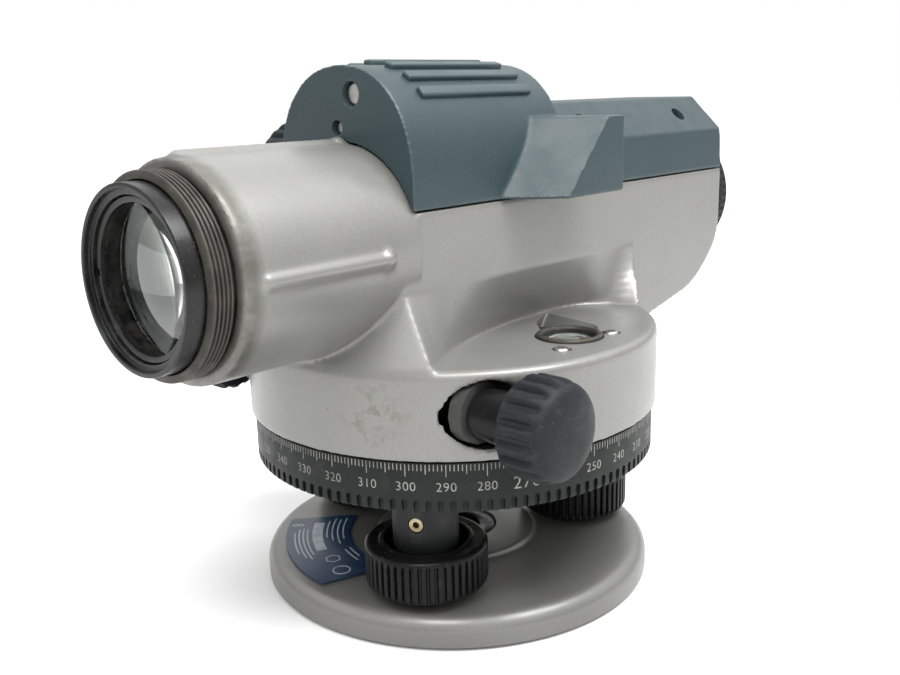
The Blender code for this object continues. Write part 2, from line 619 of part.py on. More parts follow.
def eyepiece(paints):
    centre = (0, 0, SIGHT_Z)
    turned("eyepiece_mount", paints["dark"], [
        (11.6, 96.0), (13.9, 96.0), (13.9, REAR_X + GAP), (21.5, REAR_X + GAP),
        (21.5, REAR_X + 1.2), (11.6, REAR_X + 1.2)], "X", centre, segments=48)
    tube("eyepiece_cell", paints["dark"], 8.2, 11.3, 84.0, 114.5, "X", centre, segments=36)
    turned("eyepiece_lens", paints["glass"], [
        (0, 106.0), (7.9, 107.4), (7.9, 110.6), (4.0, 111.8), (0, 112.2)], "X", centre,
        segments=28, ring=False)
    turned("eyepiece_ring", paints["rubber"], [
        (11.6, 111.4), (EYEPIECE_R - 1.0, 111.4), (EYEPIECE_R, 112.4),
        (EYEPIECE_R, EYEPIECE_END - 1.4), (EYEPIECE_R - 1.4, EYEPIECE_END),
        (14.0, EYEPIECE_END), (11.6, EYEPIECE_END - 2.0)], "X", centre, segments=56)


def main():
    clear_scene()
    paints = {
        "silver": paint("silver_paint", (0.46, 0.46, 0.44), 0.42, 0.35),
        "teal": paint("teal_plastic", (0.062, 0.098, 0.108), 0.5),
        "dark": paint("dark_anodised", (0.045, 0.047, 0.047), 0.5, 0.2),
        "black": paint("black_plastic", (0.018, 0.018, 0.019), 0.4),
        "rubber": paint("black_rubber", (0.022, 0.024, 0.026), 0.7),
        "gloss": paint("gloss_black_ring", (0.008, 0.008, 0.009), 0.22, 0.3),
        "steel": paint("steel", (0.55, 0.54, 0.52), 0.3, 1.0),
        "brass": paint("brass", (0.55, 0.42, 0.2), 0.35, 1.0),
        "corroded": paint("corroded_metal", (0.13, 0.1, 0.075), 0.6, 0.5),
        "navy": paint("navy_label", (0.01, 0.03, 0.09), 0.4),
        "mirror": paint("mirror_glass", (0.85, 0.87, 0.88), 0.05, 1.0),
        "glass": paint("lens_glass", (0.8, 0.9, 0.85), 0.03, 0.0, 0.9),
    }
    base_plate(paints)
    foot_screws(paints)
    tribrach(paints)
    horizontal_circle(paints)
    lower_housing(paints)
    bubble(paints)
    top_cover(paints)
    level_mirror(paints)
    objective(paints)
    azimuth_drive(paints)
    focusing(paints)
    compensator(paints)
    eyepiece(paints)


main()
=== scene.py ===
"""Looks of the automatic level: cast housing, moulded cover, engraved circle and glass.

Shapes are drawn in millimetres in the frame's own axes and turned into metres when a
piece is finished. The sight line lies along X, objective towards -X; +Z is up.
"""
import json
import math

import bmesh
import bpy
from mathutils import Matrix, Vector


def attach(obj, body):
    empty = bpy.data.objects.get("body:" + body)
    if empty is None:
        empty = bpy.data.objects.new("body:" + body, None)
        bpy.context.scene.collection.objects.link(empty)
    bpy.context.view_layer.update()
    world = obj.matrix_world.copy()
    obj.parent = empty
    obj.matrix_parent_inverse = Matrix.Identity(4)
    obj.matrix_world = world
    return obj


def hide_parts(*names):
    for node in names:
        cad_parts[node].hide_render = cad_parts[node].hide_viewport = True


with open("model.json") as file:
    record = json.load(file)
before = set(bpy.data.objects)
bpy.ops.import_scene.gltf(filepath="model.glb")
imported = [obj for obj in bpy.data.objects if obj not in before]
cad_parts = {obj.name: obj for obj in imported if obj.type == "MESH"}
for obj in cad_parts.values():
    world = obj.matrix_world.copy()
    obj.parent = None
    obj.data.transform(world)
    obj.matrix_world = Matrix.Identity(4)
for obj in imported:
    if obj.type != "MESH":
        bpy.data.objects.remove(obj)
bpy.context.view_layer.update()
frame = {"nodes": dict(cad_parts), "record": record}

MM = 0.001

# driving sizes, in millimetres
SIGHT = Vector((0.0, 0.0, 97.5))      # a point on the line of sight
DECK_Z = 72.0
CREASE_Z = 88.0
SEAM_Z = 107.0
HALF_WIDTH = 24.0
REAR_X = 109.0
SKIRT_R = 57.0
BARREL_R = 25.0
CIRCLE_R = 56.0
PLATE_R = 55.2
FOOT_CIRCLE_R = 37.7
FOOT_START = -149.5
DRIVE = Vector((-35.5, 0.0, 61.4))
FOCUS = Vector((-9.0, 0.0, 109.5))
VIAL = Vector((2.5, -39.0, 0.0))
HUMP_FRONT = -38.0
HUMP_REAR = 21.0
HUMP_BASE = 112.5
HUMP_TOP = 141.0
HUMP_POWER = 2.25                     # how square the hump's cross section is
WALL = 2.4
SEAM_GAP = 0.15                       # housing and cover each stop this far from the seam
COVER_HALF = HALF_WIDTH + 0.1
BARREL_FRONT = -87.5
BARREL_BACK = -36.6
WELD = 1e-4                           # points nearer than this become one

TURN_TO = {
    "Z": Matrix.Identity(4),
    "X": Matrix.Rotation(math.radians(90), 4, "Y"),
    "Y": Matrix.Rotation(math.radians(-90), 4, "X"),
}


# ---------------------------------------------------------------- shaping helpers

def soften(points, closed=False, steps=4):
    """Round the corners of an outline; each point is (a, b) or (a, b, corner length)."""
    out = []
    count = len(points)
    for i, point in enumerate(points):
        corner = Vector(point[:2])
        length = point[2] if len(point) > 2 else 0.0
        if length == 0.0 or (not closed and i in (0, count - 1)):
            out.append(tuple(corner))
            continue
        start = corner + (Vector(points[i - 1][:2]) - corner).normalized() * length
        end = corner + (Vector(points[(i + 1) % count][:2]) - corner).normalized() * length
        for k in range(steps + 1):
            t = k / steps
            out.append(tuple(start * (1 - t) ** 2 + corner * (2 * t * (1 - t)) + end * t * t))
    return out


def arc(centre, radius, start, end, steps):
    points = []
    for i in range(steps + 1):
        angle = math.radians(start + (end - start) * i / steps)
        points.append((centre[0] + radius * math.cos(angle),
                       centre[1] + radius * math.sin(angle)))
    return points


def smooth_line(points, steps):
    """Even samples of a curve through the points."""
    ends = [points[0]] + list(points) + [points[-1]]
    line = []
    for a, b, c, d in zip(ends, ends[1:], ends[2:], ends[3:]):
        a, b, c, d = Vector(a), Vector(b), Vector(c), Vector(d)
        for k in range(steps):
            t = k / steps
            line.append(tuple(0.5 * (2 * b + (c - a) * t + (2 * a - 5 * b + 4 * c - d) * t ** 2
                                     + (3 * b - a - 3 * c + d) * t ** 3)))
    return line + [tuple(points[-1])]


def spin_profile(bm, profile, steps=96, ring=True):
    """Turn (radius, height) points about Z; a ring's profile is a closed loop."""
    verts = [bm.verts.new((r, 0, h)) for r, h in profile]
    pairs = list(zip(verts, verts[1:])) + ([(verts[-1], verts[0])] if ring else [])
    edges = [bm.edges.new(pair) for pair in pairs]
    bmesh.ops.spin(bm, geom=verts + edges, cent=(0, 0, 0), axis=(0, 0, 1),
                   angle=2 * math.pi, steps=steps, use_merge=True)
    bmesh.ops.remove_doubles(bm, verts=bm.verts, dist=WELD)


def turned(profile, axis="Z", centre=(0, 0, 0), steps=96, ring=True):
    bm = bmesh.new()
    spin_profile(bm, profile, steps, ring)
    bmesh.ops.transform(bm, matrix=Matrix.Translation(centre) @ TURN_TO[axis], verts=bm.verts)
    return bm


def rod(radius, low, high, axis="Z", centre=(0, 0, 0), steps=48):
    return turned([(0, low), (radius, low), (radius, high), (0, high)], axis, centre, steps,
                  ring=False)


def prism(outline, low, high, plane):
    """Extrude a flat outline: plane XZ runs along Y, YZ along X and XY along Z."""
    place = {"XZ": lambda a, b, c: (a, c, b), "YZ": lambda a, b, c: (c, a, b),
             "XY": lambda a, b, c: (a, b, c)}[plane]
    bm = bmesh.new()
    base = bm.faces.new([bm.verts.new(place(a, b, low)) for a, b in outline])
    top = bmesh.ops.extrude_face_region(bm, geom=[base])
    moved = [g for g in top["geom"] if isinstance(g, bmesh.types.BMVert)]
    step = Vector(place(0, 0, high)) - Vector(place(0, 0, low))
    bmesh.ops.translate(bm, vec=step, verts=moved)
    return bm


def slab(low, high, bevel=0.0, segments=3):
    bm = bmesh.new()
    bmesh.ops.create_cube(bm, size=1.0)
    low, high = Vector(low), Vector(high)
    place = Matrix.Translation((low + high) / 2) @ Matrix.Diagonal((*(high - low), 1.0))
    bmesh.ops.transform(bm, matrix=place, verts=bm.verts)
    if bevel > 0.0:
        bmesh.ops.bevel(bm, geom=bm.edges[:], offset=bevel, segments=segments, profile=0.5,
                        affect="EDGES", material=-1)
    return bm


def moved(bm, matrix):
    bmesh.ops.transform(bm, matrix=matrix, verts=bm.verts)
    return bm


def gather(*parts):
    """Put several closed shapes that don't touch into one."""
    whole = bmesh.new()
    for part in parts:
        mesh = bpy.data.meshes.new("part")
        part.to_mesh(mesh)
        part.free()
        whole.from_mesh(mesh)
        bpy.data.meshes.remove(mesh)
    return whole


def rings_to_body(rings):
    """Bridge closed outlines that lie one above the other, and cap both ends."""
    bm = bmesh.new()
    loops = []
    for ring in rings:
        verts = [bm.verts.new(p) for p in ring]
        loops.append([bm.edges.new((a, b)) for a, b in zip(verts, verts[1:] + verts[:1])])
    for low, high in zip(loops, loops[1:]):
        bmesh.ops.bridge_loops(bm, edges=low + high)
    for loop in (loops[0], loops[-1]):
        bmesh.ops.contextual_create(bm, geom=loop)
    bmesh.ops.recalc_face_normals(bm, faces=bm.faces)
    return bm


def link(obj):
    bpy.context.scene.collection.objects.link(obj)


def draft(bm, name="draft"):
    """A working object in millimetres that a modifier can use."""
    bmesh.ops.remove_doubles(bm, verts=bm.verts, dist=WELD)
    bmesh.ops.recalc_face_normals(bm, faces=bm.faces)
    mesh = bpy.data.meshes.new(name)
    bm.to_mesh(mesh)
    bm.free()
    obj = bpy.data.objects.new(name, mesh)
    link(obj)
    return obj


def undraft(obj):
    """Take the shape back out of a working object."""
    bm = bmesh.new()
    bm.from_mesh(obj.data)
    discard(obj)
    return bm


def discard(obj):
    worn = obj.data
    bpy.data.objects.remove(obj)
    bpy.data.meshes.remove(worn)


def settle(obj):
    """Make the modifiers' result the object's own mesh."""
    graph = bpy.context.evaluated_depsgraph_get()
    mesh = bpy.data.meshes.new_from_object(obj.evaluated_get(graph))
    worn = obj.data
    obj.modifiers.clear()
    obj.data = mesh
    bpy.data.meshes.remove(worn)


def combine(obj, operation, *shapes):
    """Join or cut an object with bmesh shapes."""
    tools = [draft(shape, "tool") for shape in shapes]
    for tool in tools:
        step = obj.modifiers.new(operation, "BOOLEAN")
        step.operation = operation
        step.solver = "EXACT"
        step.object = tool
    settle(obj)
    for tool in tools:
        discard(tool)


def cast(obj, grain, rounds):
    """Give every edge the soft radius of a casting or a moulding."""
    remesh = obj.modifiers.new("skin", "REMESH")
    remesh.mode = "VOXEL"
    remesh.voxel_size = grain
    ease = obj.modifiers.new("ease", "SMOOTH")
    ease.factor = 0.5
    ease.iterations = rounds
    settle(obj)


def complete(shape, name, body, finish, replaces=(), sharp=32):
    """Turn a shape in millimetres into a finished piece that rides on its body."""
    if isinstance(shape, bpy.types.Object):
        bm = undraft(shape)
    else:
        bm = shape
        bmesh.ops.remove_doubles(bm, verts=bm.verts, dist=WELD)
        bmesh.ops.recalc_face_normals(bm, faces=bm.faces)
    bmesh.ops.scale(bm, vec=(MM, MM, MM), verts=bm.verts)
    mesh = bpy.data.meshes.new(name)
    bm.to_mesh(mesh)
    bm.free()
    mesh.shade_smooth()
    mesh.set_sharp_from_angle(angle=math.radians(sharp))
    obj = bpy.data.objects.new(name, mesh)
    link(obj)
    mesh.materials.clear()
    for material in finish if isinstance(finish, (list, tuple)) else (finish,):
        mesh.materials.append(material)
    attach(obj, body)
    if replaces:
        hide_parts(*replaces)
    return obj


# ---------------------------------------------------------------- finishes

class Finish:
    """A material whose colour, roughness and bump are worked out on the object itself."""

    def __init__(self, name, roughness=0.5, metallic=0.0, **sockets):
        self.material = bpy.data.materials.new(name)
        self.material.use_nodes = True
        self.nodes = self.material.node_tree.nodes
        self.links = self.material.node_tree.links
        self.shader = self.nodes["Principled BSDF"]
        self.shader.inputs["Roughness"].default_value = roughness
        self.shader.inputs["Metallic"].default_value = metallic
        for socket, value in sockets.items():
            self.shader.inputs[socket.replace("_", " ")].default_value = value
        self.place = self.nodes.new("ShaderNodeTexCoord").outputs["Object"]

    def set(self, socket, value):
        target = socket if not isinstance(socket, str) else self.shader.inputs[socket]
        if isinstance(value, bpy.types.NodeSocket):
            self.links.new(value, target)
        elif isinstance(value, tuple) and target.type == "RGBA":
            target.default_value = (*value, 1.0)
        else:
            target.default_value = value

    def noise(self, scale, detail=3.0, roughness=0.55, stretch=None):
        node = self.nodes.new("ShaderNodeTexNoise")
        node.inputs["Scale"].default_value = scale
        node.inputs["Detail"].default_value = detail
        node.inputs["Roughness"].default_value = roughness
        self.set(node.inputs["Vector"], self.stretched(stretch) if stretch else self.place)
        return node.outputs["Fac"]

    def stretched(self, stretch):
        node = self.nodes.new("ShaderNodeMapping")
        node.inputs["Scale"].default_value = stretch
        self.set(node.inputs["Vector"], self.place)
        return node.outputs["Vector"]

    def specks(self, scale, low, high):
        """White dots where a cell's centre is near: 1 inside low, 0 beyond high."""
        node = self.nodes.new("ShaderNodeTexVoronoi")
        node.inputs["Scale"].default_value = scale
        self.set(node.inputs["Vector"], self.place)
        return self.range(node.outputs["Distance"], low, high, 1.0, 0.0)

    def range(self, value, low, high, to_low=0.0, to_high=1.0):
        node = self.nodes.new("ShaderNodeMapRange")
        for socket, number in zip(("From Min", "From Max", "To Min", "To Max"),
                                  (low, high, to_low, to_high)):
            node.inputs[socket].default_value = number
        self.set(node.inputs["Value"], value)
        return node.outputs["Result"]

    def maths(self, operation, a, b=0.0):
        node = self.nodes.new("ShaderNodeMath")
        node.operation = operation
        self.set(node.inputs[0], a)
        self.set(node.inputs[1], b)
        return node.outputs[0]

    def mix(self, share, a, b):
        node = self.nodes.new("ShaderNodeMix")
        node.data_type = "RGBA"
        colour_a, colour_b = node.inputs[6], node.inputs[7]
        self.set(node.inputs["Factor"], share)
        self.set(colour_a, a)
        self.set(colour_b, b)
        return node.outputs[2]

    def over(self, tone, mask, share, colour):
        """Lay a share of a colour over a tone where the mask is 1."""
        return self.mix(self.maths("MULTIPLY", mask, share), tone, colour)

    def rough(self, scale, low, high, detail=4):
        """Let the roughness wander between two values."""
        self.set("Roughness", self.range(self.noise(scale, detail), 0.3, 0.7, low, high))

    def edges(self, low, high):
        """Rises from 0 to 1 where the surface turns outwards; swap for hollows."""
        node = self.nodes.new("ShaderNodeNewGeometry")
        return self.range(node.outputs["Pointiness"], low, high)

    def near(self, point, reach):
        """1 at a point in millimetres, falling to 0 at its reach."""
        node = self.nodes.new("ShaderNodeVectorMath")
        node.operation = "DISTANCE"
        self.set(node.inputs[0], self.place)
        node.inputs[1].default_value = Vector(point) * MM
        return self.range(node.outputs["Value"], 0.0, reach * MM, 1.0, 0.0)

    def bump(self, height, depth, strength=1.0):
        node = self.nodes.new("ShaderNodeBump")
        node.inputs["Strength"].default_value = strength
        node.inputs["Distance"].default_value = depth
        self.set(node.inputs["Height"], height)
        self.set("Normal", node.outputs["Normal"])


def silver_paint(name="silver_paint", share=1.0):
    f = Finish(name, metallic=0.4)
    f.shader.inputs["Coat Weight"].default_value = 0.22
    f.shader.inputs["Coat Roughness"].default_value = 0.24
    # share below 1 scales the base and flake tones down: painted shade, for a shaded copy of the
    # same paint
    tone = f.mix(f.noise(24, 3), tuple(share * c for c in (0.172, 0.17, 0.158)),
                 tuple(share * c for c in (0.205, 0.205, 0.193)))
    flake = f.range(f.noise(5200, 1), 0.42, 0.7)
    tone = f.over(tone, flake, 0.34, tuple(share * c for c in (0.335, 0.335, 0.325)))
    glint = f.specks(2600, 0.05, 0.11)
    tone = f.over(tone, glint, 0.4, (0.6, 0.6, 0.59))
    grime = f.range(f.noise(48, 6, 0.66), 0.56, 0.74)
    tone = f.over(tone, grime, 0.24, (0.18, 0.17, 0.148))
    stain = f.maths("MULTIPLY", f.near((-52.5, -23.0, 61.0), 11.0),
                    f.range(f.noise(330, 6, 0.7), 0.5, 0.62))
    tone = f.over(tone, stain, 0.8, (0.11, 0.085, 0.05))
    chips = f.maths("MULTIPLY", f.specks(75, 0.03, 0.05), f.range(f.noise(20, 2), 0.5, 0.52))
    tone = f.mix(chips, tone, (0.07, 0.07, 0.063))
    # painted shade: the paint is darker in the hollows
    hollow_shade = f.edges(0.49, 0.455)
    tone = f.over(tone, hollow_shade, 0.4, (0.13, 0.125, 0.11))
    mouth = f.range(f.near((-89.0, 0.0, SIGHT.z), 50.0), 0.48, 0.493)
    handled = f.maths("MULTIPLY", mouth, f.range(f.noise(180, 5, 0.65), 0.3, 0.6, 0.45, 1.0))
    tone = f.mix(handled, tone, (0.1, 0.094, 0.08))
    f.set("Base Color", tone)
    f.rough(90, 0.34, 0.44)
    f.bump(f.noise(2400, 2), 0.00003, 0.4)
    return f.material


def teal_plastic():
    f = Finish("teal_plastic")
    tone = f.mix(f.noise(40, 4), (0.0125, 0.028, 0.0325), (0.018, 0.038, 0.044))
    tone = f.over(tone, f.range(f.noise(1500, 3), 0.45, 0.8), 0.3, (0.038, 0.056, 0.062))
    tone = f.over(tone, f.edges(0.515, 0.56), 0.35, (0.07, 0.1, 0.108))
    dust = f.maths("MULTIPLY", f.specks(1100, 0.07, 0.13), f.range(f.noise(110, 4), 0.5, 0.66))
    tone = f.over(tone, dust, 0.45, (0.34, 0.37, 0.37))
    f.set("Base Color", tone)
    f.rough(120, 0.4, 0.55, 3)
    f.bump(f.noise(2200, 2), 0.00004, 0.5)
    return f.material


def dark_coating(name="dark_coating", tone_a=(0.009, 0.0095, 0.0095),
                 tone_b=(0.016, 0.017, 0.0165)):
    f = Finish(name, Specular_IOR_Level=0.18)
    tone = f.mix(f.noise(60, 5), tone_a, tone_b)
    dust = f.range(f.noise(240, 5, 0.7), 0.56, 0.75)
    tone = f.over(tone, dust, 0.14, (0.1, 0.1, 0.093))
    tone = f.over(tone, f.edges(0.54, 0.6), 0.25, (0.14, 0.14, 0.135))
    f.set("Base Color", tone)
    f.rough(150, 0.36, 0.55)
    f.bump(f.noise(1400, 3), 0.00004, 0.5)
    return f.material


def soft_rubber():
    f = Finish("soft_rubber", Specular_IOR_Level=0.2)
    tone = f.mix(f.noise(70, 5), (0.008, 0.0105, 0.012), (0.015, 0.0185, 0.021))
    dust = f.maths("MAXIMUM", f.edges(0.49, 0.42), f.range(f.noise(300, 6, 0.7), 0.55, 0.75))
    tone = f.over(tone, dust, 0.1, (0.15, 0.16, 0.16))
    lint = f.specks(900, 0.07, 0.13)
    tone = f.over(tone, lint, 0.16, (0.35, 0.36, 0.35))
    f.set("Base Color", tone)
    f.rough(110, 0.45, 0.68)
    f.bump(f.noise(1100, 3), 0.00006, 0.5)
    return f.material


def black_plastic():
    f = Finish("black_plastic", Specular_IOR_Level=0.14)
    tone = f.mix(f.noise(80, 5), (0.004, 0.004, 0.0045), (0.008, 0.008, 0.0085))
    dust = f.range(f.noise(400, 6, 0.7), 0.58, 0.78)
    tone = f.over(tone, dust, 0.15, (0.16, 0.16, 0.15))
    f.set("Base Color", tone)
    f.rough(140, 0.22, 0.36)
    f.bump(f.noise(900, 3), 0.00003, 0.5)
    return f.material


def gloss_black():
    f = Finish("gloss_black_coating", Specular_IOR_Level=0.32)
    tone = f.mix(f.noise(90, 4), (0.003, 0.003, 0.0035), (0.007, 0.007, 0.0078))
    wear = f.maths("MULTIPLY", f.edges(0.54, 0.6), f.range(f.noise(260, 5), 0.4, 0.6))
    tone = f.over(tone, wear, 0.3, (0.09, 0.085, 0.07))
    tone = f.over(tone, f.specks(900, 0.06, 0.11), 0.35, (0.3, 0.29, 0.26))
    f.set("Base Color", tone)
    f.rough(160, 0.2, 0.36)
    f.bump(f.noise(700, 2, stretch=(1, 0.2, 0.2)), 0.00002, 0.4)
    return f.material


def baffle_black():
    f = Finish("baffle_black", roughness=0.8)
    f.set("Base Color", f.mix(f.noise(200, 3), (0.006, 0.006, 0.006), (0.014, 0.014, 0.013)))
    f.bump(f.noise(900, 2), 0.00005)
    return f.material


def turned_metal(name, bright, dull, rough_low, rough_high, metallic=1.0, scale=260.0):
    """Turned metal with oxide in its hollows."""
    f = Finish(name, metallic=metallic)
    tone = f.mix(f.range(f.noise(scale, 6, 0.65), 0.35, 0.7), bright, dull)
    tone = f.over(tone, f.edges(0.49, 0.43), 0.6, tuple(0.3 * c for c in dull))
    f.set("Base Color", tone)
    f.rough(scale * 1.7, rough_low, rough_high)
    f.bump(f.noise(scale * 4, 3), 0.00003, 0.5)
    return f.material


def tarnished_brass():
    f = Finish("tarnished_brass", metallic=0.35)
    tone = f.mix(f.range(f.noise(170, 7, 0.72), 0.35, 0.68), (0.05, 0.044, 0.037),
                 (0.014, 0.012, 0.01))
    tone = f.over(tone, f.edges(0.53, 0.6), 0.35, (0.17, 0.155, 0.13))
    rust = f.range(f.noise(420, 5, 0.7), 0.6, 0.72)
    tone = f.over(tone, rust, 0.55, (0.13, 0.06, 0.025))
    f.set("Base Color", tone)
    f.rough(260, 0.4, 0.7)
    f.bump(f.noise(800, 5, 0.7), 0.00009, 0.7)
    return f.material


def printed(name, tone_a, tone_b, roughness):
    """Print or enamel with slight wear."""
    f = Finish(name, roughness=roughness)
    f.set("Base Color", f.mix(f.range(f.noise(320, 5, 0.7), 0.42, 0.66), tone_a, tone_b))
    f.bump(f.noise(1600, 2), 0.00002, 0.4)
    return f.material


def optical_glass(name, tint, ior, roughness=0.0):
    f = Finish(name, roughness=roughness, Transmission_Weight=1.0, IOR=ior)
    f.set("Base Color", f.mix(f.noise(120, 2), tint, tuple(c * 0.97 for c in tint)))
    return f.material


def mirror_glass():
    f = Finish("mirror_glass", metallic=1.0)
    f.set("Base Color", f.mix(f.noise(60, 3), (0.8, 0.83, 0.84), (0.74, 0.77, 0.78)))
    f.set("Roughness", f.range(f.noise(300, 4), 0.4, 0.75, 0.02, 0.12))
    return f.material


SILVER = silver_paint()
# the same silver paint with its tones scaled to 0.8: painted shade on the base plate
SHADED_BASE_SILVER = silver_paint("shaded_base_paint", 0.8)
TEAL = teal_plastic()
DARK = dark_coating()
CIRCLE_DARK = dark_coating("circle_coating", (0.009, 0.0098, 0.0096), (0.016, 0.0175, 0.017))
RUBBER = soft_rubber()
BLACK = black_plastic()
GLOSS = gloss_black()
BAFFLE = baffle_black()
STEEL = turned_metal("turned_steel", (0.6, 0.59, 0.56), (0.34, 0.32, 0.29), 0.22, 0.4)
BRASS = turned_metal("turned_brass", (0.44, 0.37, 0.24), (0.2, 0.165, 0.1), 0.28, 0.48)
BLUED_STEEL = turned_metal("blackened_steel", (0.06, 0.06, 0.062), (0.025, 0.024, 0.022), 0.25,
                           0.45)
TARNISH = tarnished_brass()
NAVY = printed("navy_print", (0.008, 0.028, 0.075), (0.018, 0.045, 0.1), 0.3)
PALE_PRINT = printed("pale_print", (0.45, 0.5, 0.52), (0.25, 0.3, 0.34), 0.4)
ENGRAVING = printed("white_engraving", (0.27, 0.27, 0.258), (0.13, 0.13, 0.125), 0.6)
GLASS = optical_glass("lens_glass", (0.9, 0.97, 0.93), 1.75)
CLEAR = optical_glass("vial_clear", (0.95, 0.98, 0.9), 1.49, 0.02)
MIRROR = mirror_glass()


# ---------------------------------------------------------------- housing and cover

def deck_edge(half):
    """Close a half outline of the waisted body with its mirror image."""
    return half + [(x, -y) for x, y in reversed(half[1:-1])]


def body_outlines():
    """Outlines of the waisted body at the deck, at the soft crease and under the seam."""
    end, side = 24, 43                  # points round each end and along the side
    deck = (arc((0, 0), SKIRT_R - 0.5, 180, 218, end - 1)
            + smooth_line([(-38.0, -31.0), (-28.0, -26.0), (-15.0, -21.2), (0.0, -18.0),
                           (13.0, -16.8), (26.0, -16.9), (35.0, -19.4), (41.0, -25.5)],
                          (side - 1) // 7)
            + arc((0, 0), SKIRT_R - 1.0, -37.5, 0, end - 1))
    rear = smooth_line([(56.0, -HALF_WIDTH), (57.0, -18.0), (57.0, -8.0), (57.0, 0.0)],
                       8)[:end]
    rear[-1] = (57.0, 0.0)
    outlines = {DECK_Z: deck}
    for z, start, swell in ((CREASE_Z, -42.0, (4.0, 3.3, 2.0)), (SEAM_Z, -36.0, (0, 0, 0))):
        front = smooth_line([(start - swell[0], 0.0), (start - swell[1], -10.0),
                             (start - swell[2], -19.0), (start, -HALF_WIDTH)], 8)[:end]
        front[-1] = (start, -HALF_WIDTH)
        flank = [(start + 4.0 + (46.0 - start - 4.0) * k / (side - 1), -HALF_WIDTH)
                 for k in range(side)]
        outlines[z] = front + flank + rear
    return outlines


def ring_at(outline, z):
    return [(x, y, z) for x, y in deck_edge(outline)]


def barrel_rib(angle, start, end):
    """Raised bead along the barrel with a rounded far end."""
    rib = slab((start, BARREL_R - 3.0, -1.5), (end, BARREL_R + 1.3, 1.5), 1.2, 4)
    knuckle = bmesh.new()
    bmesh.ops.create_uvsphere(knuckle, u_segments=20, v_segments=14, radius=2.3)
    bmesh.ops.translate(knuckle, vec=(end - 1.2, BARREL_R - 0.4, 0), verts=knuckle.verts)
    turn = Matrix.Translation(SIGHT) @ Matrix.Rotation(math.radians(angle), 4, "X")
    return [moved(rib, turn), moved(knuckle, turn)]


def housing():
    outlines = body_outlines()
    rings = [ring_at(outlines[DECK_Z], DECK_Z - 1.2)]
    for low, high in ((DECK_Z, CREASE_Z), (CREASE_Z, SEAM_Z - SEAM_GAP)):
        top = outlines[CREASE_Z if low == DECK_Z else SEAM_Z]
        for k in range(8):
            blend = [tuple(Vector(a).lerp(Vector(b), k / 8)) for a, b in zip(outlines[low], top)]
            rings.append(ring_at(blend, low + (high - low) * k / 8))
    rings.append(ring_at(outlines[SEAM_Z], SEAM_Z - SEAM_GAP))
    body = draft(rings_to_body(rings))
    rim = arc((SKIRT_R - 2.0, DECK_Z - 2.0), 2.0, 0, 90, 6)
    skirt = turned([(0, DECK_Z)] + rim[::-1] + [
        (SKIRT_R, 50.2), (53.5, 50.2), (53.5, 69.8), (15.5, 69.8), (15.5, 58.0),
        (11.3, 58.0), (11.3, 70.1), (0, 70.1)], steps=180, ring=False)
    side_view = soften([(54.5, 61.8), (66.0, 64.2), (90.0, 69.3, 3.0), (97.0, 73.0, 3.0),
                        (104.0, 78.8, 3.0), (107.6, 83.5, 2.0), (REAR_X, 88.0, 2.0),
                        (REAR_X, SEAM_Z - 0.17), (46.0, SEAM_Z - 0.17), (46.0, 73.0),
                        (54.5, 73.0)], closed=True)
    rear = prism(side_view, -HALF_WIDTH, HALF_WIDTH, "XZ")
    barrel = turned(soften([(21.48, BARREL_FRONT, 0.3), (BARREL_R, BARREL_FRONT, 1.0),
                            (BARREL_R, BARREL_BACK), (21.48, BARREL_BACK)], closed=True),
                    "X", SIGHT, 160)
    boss = turned([(4.6, 20.0), (10.0, 20.0), (10.0, 28.5), (4.6, 28.5)], "Y", FOCUS, 72)
    ribs = (barrel_rib(90, -86.0, -38.3) + barrel_rib(180, -83.0, -46.6)
            + barrel_rib(0, -83.0, -46.6))
    pad = rod(16.5, 67.4, 70.6, centre=(7.5, -30.0, 0), steps=72)
    combine(body, "UNION", skirt, rear, barrel, boss, pad, *ribs)
    room = prism([(-13.0, 75.6), (13.0, 75.6), (21.6, 90.0), (21.6, 122.0), (-21.6, 122.0),
                  (-21.6, 90.0)], -33.4, 97.0, "YZ")
    drive_way = turned([(0, -70.0), (8.2, -70.0), (8.2, 70.0), (0, 70.0)], "Y", DRIVE, 72,
                       ring=False)
    combine(body, "DIFFERENCE",
            rod(21.46, -75.0, -28.0, "X", SIGHT, 160), room, drive_way,
            rod(4.58, 18.0, 27.0, "Y", FOCUS), rod(14.3, 94.0, 112.0, "X", SIGHT, 72))
    cast(body, 0.68, 4)
    screws = [rod(2.5, 62.0, top, centre=(x, y, 0), steps=32)
              for (x, y), top in zip(bubble_screws(), (76.0, 76.0, 71.5))]
    niche = rings_to_body([
        [(x, y, z) for x, y in soften([(-4.6, -37.0, 0.6), (9.2 - lean, -23.0, 1.5),
                                       (21.0 - lean, -17.4, 3.0), (16.8 - lean, -38.0, 3.0),
                                       (10.0, -43.0), (1.0, -40.0)], closed=True, steps=5)]
        for z, lean in ((68.6, 2.6), (72.1, 0.0), (75.5, -0.6))])
    combine(body, "DIFFERENCE", niche, rod(9.0, 66.0, 74.0, centre=VIAL, steps=72), *screws)
    piece = complete(body, "cast_housing", "housing", (SILVER, BAFFLE),
                     ["lower_housing"])
    blacken_inside(piece)


def blacken_inside(piece):
    """Give the walls that light passes through the baffle finish."""
    for face in piece.data.polygons:
        x, y, z = face.center / MM
        to_sight = math.hypot(y, z - SIGHT.z)
        in_barrel = -87.0 < x < -28.0 and to_sight < 21.9
        in_room = -33.8 < x < 97.5 and abs(y) < 21.9 and 75.2 < z < 122.0
        in_drive = math.hypot(x - DRIVE.x, z - DRIVE.z) < 8.4 and abs(y) < 44.5
        under = z < 69.9 and math.hypot(x, y) < 53.7
        if in_barrel or (in_room and not (z < 88 and abs(y) > 13 + (z - 75) * 0.64)) \
                or in_drive or under:
            face.material_index = 1


def bubble_screws():
    return arc((1.1, -39.3), 12.5, -150.0, 90.0, 2)


def cover_foot(inset):
    """The skin ends at the seam; what hollows it out reaches lower."""
    return SEAM_Z - 3.0 if inset else SEAM_Z + SEAM_GAP


